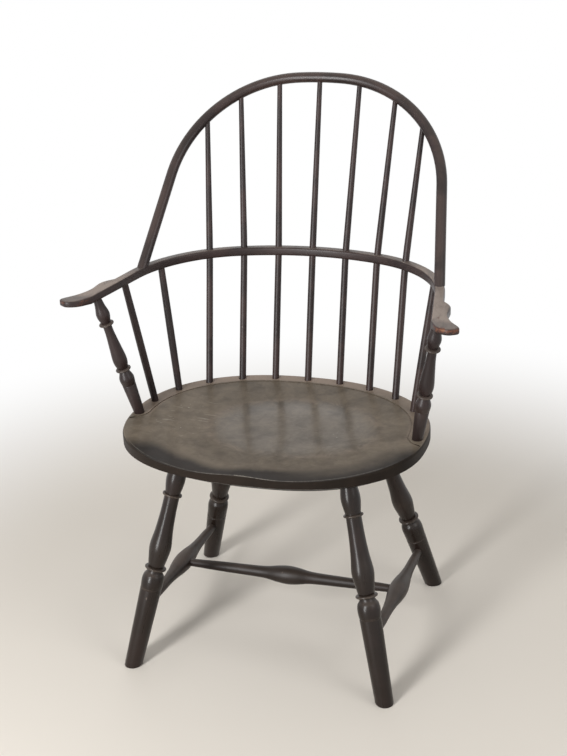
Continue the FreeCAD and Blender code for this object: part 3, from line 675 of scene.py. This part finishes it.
def shape_short_spindle(order):
    """Straight spindle under the arm."""
    foot = along_seat_edge((4 + order) * seat_pitch)
    top = on_rail(short_spindles_on_rail[order], rail_under)
    length = (top - foot).length
    outline = line_through([(-5, spindle_seat_radius), (length * 0.5, 6.9), (length + 5, 6.1)], 4)
    return stand(lathe(outline, [(length * 0.5, 60, 0.10)], 24), foot, top)


def shape_bow():
    """Bow with its two feet on top of the arms."""
    foot = bow_line.bent + (Vector((bow_foot.x, 0)) - bow_line.at(bow_line.bent)[0]).length
    spare, steps = 14, 96
    end = foot + spare
    outline = [(end * (2 * step / steps - 1), bow_radius) for step in range(steps + 1)]

    def path(distance):
        centre, outward = on_bow(distance)
        return centre, outward, bow_across

    bow = follow(lathe(outline, [(0, 200, 0.12)], 32), path)
    let_in = 1.0
    return saw(bow, (0, 0, rail_top - let_in), (0, 0, -1))


forward = Vector((math.sin(rail_splay), -math.cos(rail_splay)))
outward = Vector((math.cos(rail_splay), math.sin(rail_splay)))
hand_start = rail_line.at(hand_on_rail)[0] + outward * (rail_wide / 2)


def hand_edge():
    """Edge of the right arm from its ear round the tip to the inner side, as (ahead, aside) of the start."""
    places = line_through([
        (-9.0, 0.0), (5.3, 8.4), (21.0, 12.0), (54.0, 8.2), (83.5, 14.0), (113.0, 28.0), (122.5, 18.2),
        (124.0, 9.0), (118.4, -1.8), (108.0, -10.4), (85.6, -18.0),
    ], 5)
    return [hand_start + forward * ahead + outward * aside for ahead, aside in places]


def past_hand_start(vert):
    """How far a board point lies ahead of the hand's start and aside of it."""
    off = Vector((abs(vert.co.x), vert.co.y)) - hand_start
    return off.dot(forward), off.dot(outward)


def on_grain(vert):
    """A board point's place with the grain along Z, in metres."""
    ahead, aside = past_hand_start(vert)
    if ahead > 0:
        return Vector((aside, vert.co.z, ahead)) * millimetre
    bend_y, bend_radius = 20, 260
    angle = math.atan2(vert.co.x, vert.co.y - bend_y)
    return Vector((vert.co.xy.length, vert.co.z, angle * bend_radius)) * millimetre


def board_rise(vert):
    """How high in the board's thickness a point lies, from 0 to 1."""
    return (vert.co.z - rail_under) / rail_thick


def hand_rub(vert):
    """How rubbed a board point is: most on the rounded edge of the right hand's tip."""
    tip_start, tip_length = 78, 40
    right_rub, left_rub = 0.75, 0.34
    tip = max(0.0, min(1.0, (past_hand_start(vert)[0] - tip_start) / tip_length))
    rounded = max(0.0, 1 - abs(board_rise(vert) - 0.62) / 0.60)
    return tip * rounded * (right_rub if vert.co.x > 0 else left_rub)


def thin_hand(vert):
    """Raise the hand's underside towards the tip."""
    thin_start, thin_length, thinned = 66, 58, 4.5
    ahead = past_hand_start(vert)[0]
    if ahead > thin_start:
        vert.co.z += (ahead - thin_start) / thin_length * thinned * (1 - board_rise(vert))


def shape_arms():
    """Rail and hands as one eased board."""
    edge = hand_edge()
    steps = 40
    bend = [rail_line.bent * step / steps for step in range(-steps, steps + 1)]
    outer = [point + out * (rail_wide / 2) for point, out in map(rail_line.at, bend)]
    inner = [point - out * (rail_wide / 2) for point, out in map(rail_line.at, bend)]
    left_edge = [Vector((-point.x, point.y)) for point in reversed(edge)]
    outline = [*outer, *edge, *reversed(inner), *left_edge]
    bm = bmesh.new()
    own, worn = layers(bm)
    verts = [bm.verts.new((point.x, point.y, rail_under)) for point in outline]
    base = bm.faces.new(verts)
    risen = bmesh.ops.extrude_face_region(bm, geom=[base])["geom"]
    top = [item for item in risen if isinstance(item, bmesh.types.BMVert)]
    bmesh.ops.translate(bm, vec=(0, 0, rail_thick), verts=top)
    bmesh.ops.recalc_face_normals(bm, faces=bm.faces)
    rims = [rim for rim in bm.edges if abs(rim.verts[0].co.z - rim.verts[1].co.z) < 1e-3]
    eased = 4.0
    bmesh.ops.bevel(
        bm, geom=rims, offset=eased, offset_type="OFFSET", segments=5, profile=0.5,
        affect="EDGES", clamp_overlap=True, material=-1,
    )
    for vert in bm.verts:
        vert[own] = on_grain(vert)
        vert[worn] = hand_rub(vert)
        thin_hand(vert)
    return bm


def make_pair(name, bm, finish, node):
    """A piece and its mirror image, each in place of its own node."""
    other = mirrored(bm)
    done(name + "_right", bm, finish, node + "_right")
    done(name + "_left", other, finish, node + "_left")


def make_legs():
    """Four legs; the rear ones' collars sit lower, above a longer bulb."""
    make_pair("front_leg", shape_leg(front_foot, front_top, collar=0.473, bulb=39), leg_finish, "leg_front")
    make_pair("rear_leg", shape_leg(rear_foot, rear_top, collar=0.4135, bulb=48), leg_finish, "leg_rear")


def on_leg(foot, top, height):
    """Place on a leg's middle line at a height."""
    return Vector((*foot, 0)).lerp(Vector((*top, seat_under)), height / seat_under)


def make_stretchers():
    """Two side stretchers between the legs and a cross stretcher between their middles."""
    front = on_leg(front_foot, front_top, rung_at_front)
    rear = on_leg(rear_foot, rear_top, rung_at_rear)
    side_rung = shape_stretcher(front, rear, host=18.3, belly=84.0, waist_radius=9.6)
    make_pair("side_rung", side_rung, rung_finish, "side_stretcher")
    right = (front + rear) / 2
    left = Vector((-right.x, right.y, right.z))
    cross_rung = shape_stretcher(left, right, host=17.4, belly=66.0, waist_radius=10.6)
    done("cross_rung", cross_rung, cross_finish, "cross_stretcher")


def make_spindles():
    """Seven long spindles, numbered from the left, and two short ones under each arm."""
    for index in range(-3, 4):
        number = index + 4
        spindle = shape_long_spindle(index)
        done("back_spindle_%d" % number, spindle, spindle_finish, "long_spindle_%d" % number)
    for order, where in enumerate(("rear", "front")):
        spindle = shape_short_spindle(order)
        make_pair("arm_spindle_" + where, spindle, spindle_finish, "short_spindle_" + where)


def make_arms():
    """Rail and hands, parted along the flat outer side of the rail."""
    board = shape_arms()
    outside_rail = 0.05
    glue = hand_start + outward * outside_rail
    for side, name in ((1, "right"), (-1, "left")):
        place, out = Vector((side * glue.x, glue.y, 0)), Vector((side * outward.x, outward.y, 0))
        hand = board.copy()
        done("hand_" + name, saw(hand, place, -out), rail_finish, "arm_hand_" + name)
        saw(board, place, out)
    done("rail", board, rail_finish, "arm_rail")


def paint_node(name, finish):
    """Paint a node that keeps the shape it came with."""
    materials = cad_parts[name].data.materials
    materials.clear()
    materials.append(finish)


paint_node("seat", seat_finish)
paint_node("bow_wedges", rail_finish)
make_legs()
make_stretchers()
make_pair("post", shape_post(), post_finish, "arm_post")
make_spindles()
done("bent_bow", shape_bow(), bow_finish, "bow")
make_arms()


def set_camera():
    """Camera where the photograph was taken from."""
    place = (0.7223, -2.1530, 1.4456)
    yaw, pitch, roll = 0.3264, 0.3997, 0.045
    focal_pixels, tall_pixels, sensor = 1367.6, 756, 36.0
    ahead = Vector((-math.sin(yaw) * math.cos(pitch), math.cos(yaw) * math.cos(pitch), -math.sin(pitch)))
    right = Vector((math.cos(yaw), math.sin(yaw), 0))
    down = ahead.cross(right)
    turned_right = math.cos(roll) * right + math.sin(roll) * down
    turned_down = math.cos(roll) * down - math.sin(roll) * right
    data = bpy.data.cameras.new("photo_camera")
    data.sensor_width = sensor
    data.lens = focal_pixels * sensor / tall_pixels
    camera = bpy.data.objects.new("photo_camera", data)
    bpy.context.scene.collection.objects.link(camera)
    columns = Matrix((turned_right, -turned_down, -ahead)).transposed()
    camera.matrix_world = Matrix.Translation(place) @ columns.to_4x4()
    bpy.context.scene.camera = camera


def lamp(name, place, target, size, power):
    """Rectangular lamp at a place in metres, turned towards a target."""
    data = bpy.data.lights.new(name, "AREA")
    data.shape = "RECTANGLE"
    data.size, data.size_y = size
    data.energy = power
    light = bpy.data.objects.new(name, data)
    bpy.context.scene.collection.objects.link(light)
    light.location = place
    light.rotation_euler = (Vector(target) - Vector(place)).to_track_quat("-Z", "Y").to_euler()


def set_studio():
    """White to the eye and in gloss, with a dimmer fill for the light it casts."""
    world = bpy.data.worlds.new("studio")
    bpy.context.scene.world = world
    sky = Finish("studio", world)
    white = sky.node("ShaderNodeBackground", {}, {"Color": (1, 1, 1, 1), "Strength": 1.0})
    fill = sky.node("ShaderNodeBackground", {}, {"Color": (1, 0.98, 0.95, 1), "Strength": 0.42})
    mixed = sky.node("ShaderNodeMixShader", {}, {0: sky.seen(), 1: fill, 2: white})
    sky.node("ShaderNodeOutputWorld", {}, {"Surface": mixed})
    lamp("window", place=(-0.9, -2.6, 1.2), target=(0, 0, 0.55), size=(0.5, 2.2), power=85)
    lamp("side", place=(2.4, -1.0, 2.0), target=(0, 0, 0.45), size=(1.4, 1.4), power=16)
    lamp("back", place=(-0.8, 2.2, 2.3), target=(0, 0, 0.7), size=(1.6, 1.0), power=7)


def lay_floor():
    """Pale floor that fades to white away from the chair, where only the camera and gloss see it."""
    finish = Finish("pale_floor")
    place = finish.place()
    distance = finish.node("ShaderNodeVectorMath", {"operation": "LENGTH"}, {0: place}, output=1)
    pale = (0.80, 0.75, 0.68, 1)
    shader = finish.node("ShaderNodeBsdfPrincipled", {}, {"Base Color": pale, "Roughness": 0.7})
    glow = finish.node("ShaderNodeEmission", {}, {"Color": (1, 1, 1, 1), "Strength": 1.0})
    fade_start, fade_end, floor_size = 0.55, 1.5, 30
    faded = distance.step(fade_start, fade_end) * finish.seen()
    mixed = finish.node("ShaderNodeMixShader", {}, {0: faded, 1: shader, 2: glow})
    finish.node("ShaderNodeOutputMaterial", {}, {"Surface": mixed})
    bpy.ops.mesh.primitive_plane_add(size=floor_size, location=(0, 0, 0))
    floor = bpy.context.active_object
    floor.name = "floor"
    floor.data.materials.append(finish.material)


set_camera()
set_studio()
lay_floor()
bpy.context.scene.view_settings.view_transform = "Standard"
